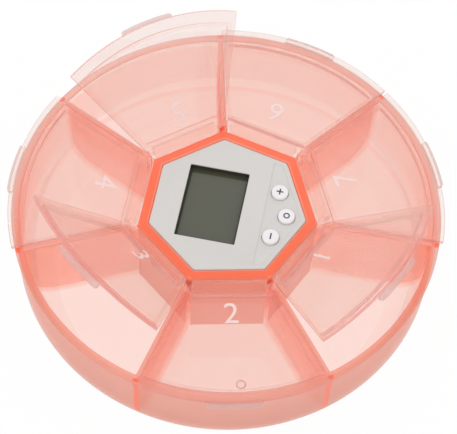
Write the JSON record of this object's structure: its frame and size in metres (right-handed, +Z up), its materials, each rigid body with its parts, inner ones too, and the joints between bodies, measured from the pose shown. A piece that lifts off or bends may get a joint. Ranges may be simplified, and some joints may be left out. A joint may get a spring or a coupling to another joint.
{
  "type": "weekly pill box with reminder timer",
  "caption": "Round translucent salmon pill box with wedge compartments, hinged lids standing open or shut, and an electronic reminder timer in its hub.",
  "frame": {"origin": "centre of the flat underside of the tray", "axes": "+Z up; compartment 2 faces -Y; compartments count clockwise seen from above"},
  "size_m": [0.1198, 0.1198, 0.0523],
  "materials": {
    "tray_polypropylene": "translucent salmon polypropylene, clear in thin walls and deep orange seen edge on",
    "lid_polypropylene": "paler, clearer salmon polypropylene with a polished top",
    "white_abs": "white ABS with a fine matt texture",
    "key_abs": "white ABS, smoother than the face, with a dark printed sign",
    "display_glass": "reflective liquid crystal glass, grey olive with no segment on",
    "grey_plastic": "moulded grey plastic",
    "contact_rubber": "layered conductive rubber",
    "board_laminate": "green lacquered glass laminate",
    "switch_plastic": "black moulded switch bodies",
    "black_epoxy": "black potting resin",
    "crystal_can": "drawn metal can",
    "sounder_brass": "brass disc with a ceramic face",
    "cell_steel": "nickelled steel can",
    "contact_steel": "nickelled spring strip",
    "screw_steel": "zinc plated"
  },
  "bodies": {
    "tray": {"tray": "tray_polypropylene"},
    "lid_1": {"lid_1": "lid_polypropylene"},
    "lid_2": {"lid_2": "lid_polypropylene"},
    "lid_3": {"lid_3": "lid_polypropylene"},
    "lid_4": {"lid_4": "lid_polypropylene"},
    "lid_5": {"lid_5": "lid_polypropylene"},
    "lid_6": {"lid_6": "lid_polypropylene"},
    "lid_7": {"lid_7": "lid_polypropylene"},
    "timer": {"timer_face": "white_abs", "timer_back_case": "white_abs", "lcd_glass": "display_glass", "lcd_holder": "grey_plastic", "zebra_strip": "contact_rubber", "circuit_board": "board_laminate", "switches": "switch_plastic", "chip_blob": "black_epoxy", "quartz_crystal": "crystal_can", "piezo_buzzer": "sounder_brass", "coin_cell": "cell_steel", "battery_contact_positive": "contact_steel", "battery_contact_negative": "contact_steel", "case_screws": "screw_steel"},
    "battery_door": {"battery_door": "white_abs"},
    "button_plus": {"button_plus": "key_abs"},
    "button_set": {"button_set": "key_abs"},
    "button_minus": {"button_minus": "key_abs"}
  },
  "joints": [
    {"name": "lid_1_hinge", "type": "hinge", "parent": "tray", "child": "lid_1", "pos_m": [0.01939, -0.01546, 0.0264], "axis": [-0.6235, -0.7818, 0], "range_deg": [-33, 57]},
    {"name": "lid_2_hinge", "type": "hinge", "parent": "tray", "child": "lid_2", "pos_m": [0, -0.0248, 0.0264], "axis": [-1, 0, 0], "range_deg": [0, 19.5]},
    {"name": "lid_3_hinge", "type": "hinge", "parent": "tray", "child": "lid_3", "pos_m": [-0.01939, -0.01546, 0.0264], "axis": [-0.6235, 0.7818, 0], "range_deg": [-42.5, 47.5]},
    {"name": "lid_4_hinge", "type": "hinge", "parent": "tray", "child": "lid_4", "pos_m": [-0.02418, 0.00552, 0.0264], "axis": [0.2225, 0.9749, 0], "range_deg": [0, 20]},
    {"name": "lid_5_hinge", "type": "hinge", "parent": "tray", "child": "lid_5", "pos_m": [-0.01076, 0.02234, 0.0264], "axis": [0.901, 0.4339, 0], "range_deg": [-45, 45]},
    {"name": "lid_6_hinge", "type": "hinge", "parent": "tray", "child": "lid_6", "pos_m": [0.01076, 0.02234, 0.0264], "axis": [0.901, -0.4339, 0], "range_deg": [0, 20]},
    {"name": "lid_7_hinge", "type": "hinge", "parent": "tray", "child": "lid_7", "pos_m": [0.02418, 0.00552, 0.0264], "axis": [-0.2225, 0.9749, 0], "range_deg": [-20, 0]},
    {"name": "timer_lift", "type": "slide", "parent": "tray", "child": "timer", "axis": [0, 0, 1], "range_m": [0, 0.025]},
    {"name": "battery_door_turn", "type": "hinge", "parent": "timer", "child": "battery_door", "pos_m": [-0.00253, 0.00058, 0.0137], "axis": [0, 0, 1], "range_deg": [0, 40]},
    {"name": "button_plus_press", "type": "slide", "parent": "timer", "child": "button_plus", "axis": [0, 0, -1], "range_m": [0, 0.00035], "stiffness_N_per_m": 400, "springref_m": -0.0006},
    {"name": "button_set_press", "type": "slide", "parent": "timer", "child": "button_set", "axis": [0, 0, -1], "range_m": [0, 0.00035], "stiffness_N_per_m": 400, "springref_m": -0.0006},
    {"name": "button_minus_press", "type": "slide", "parent": "timer", "child": "button_minus", "axis": [0, 0, -1], "range_m": [0, 0.00035], "stiffness_N_per_m": 400, "springref_m": -0.0006}
  ]
}
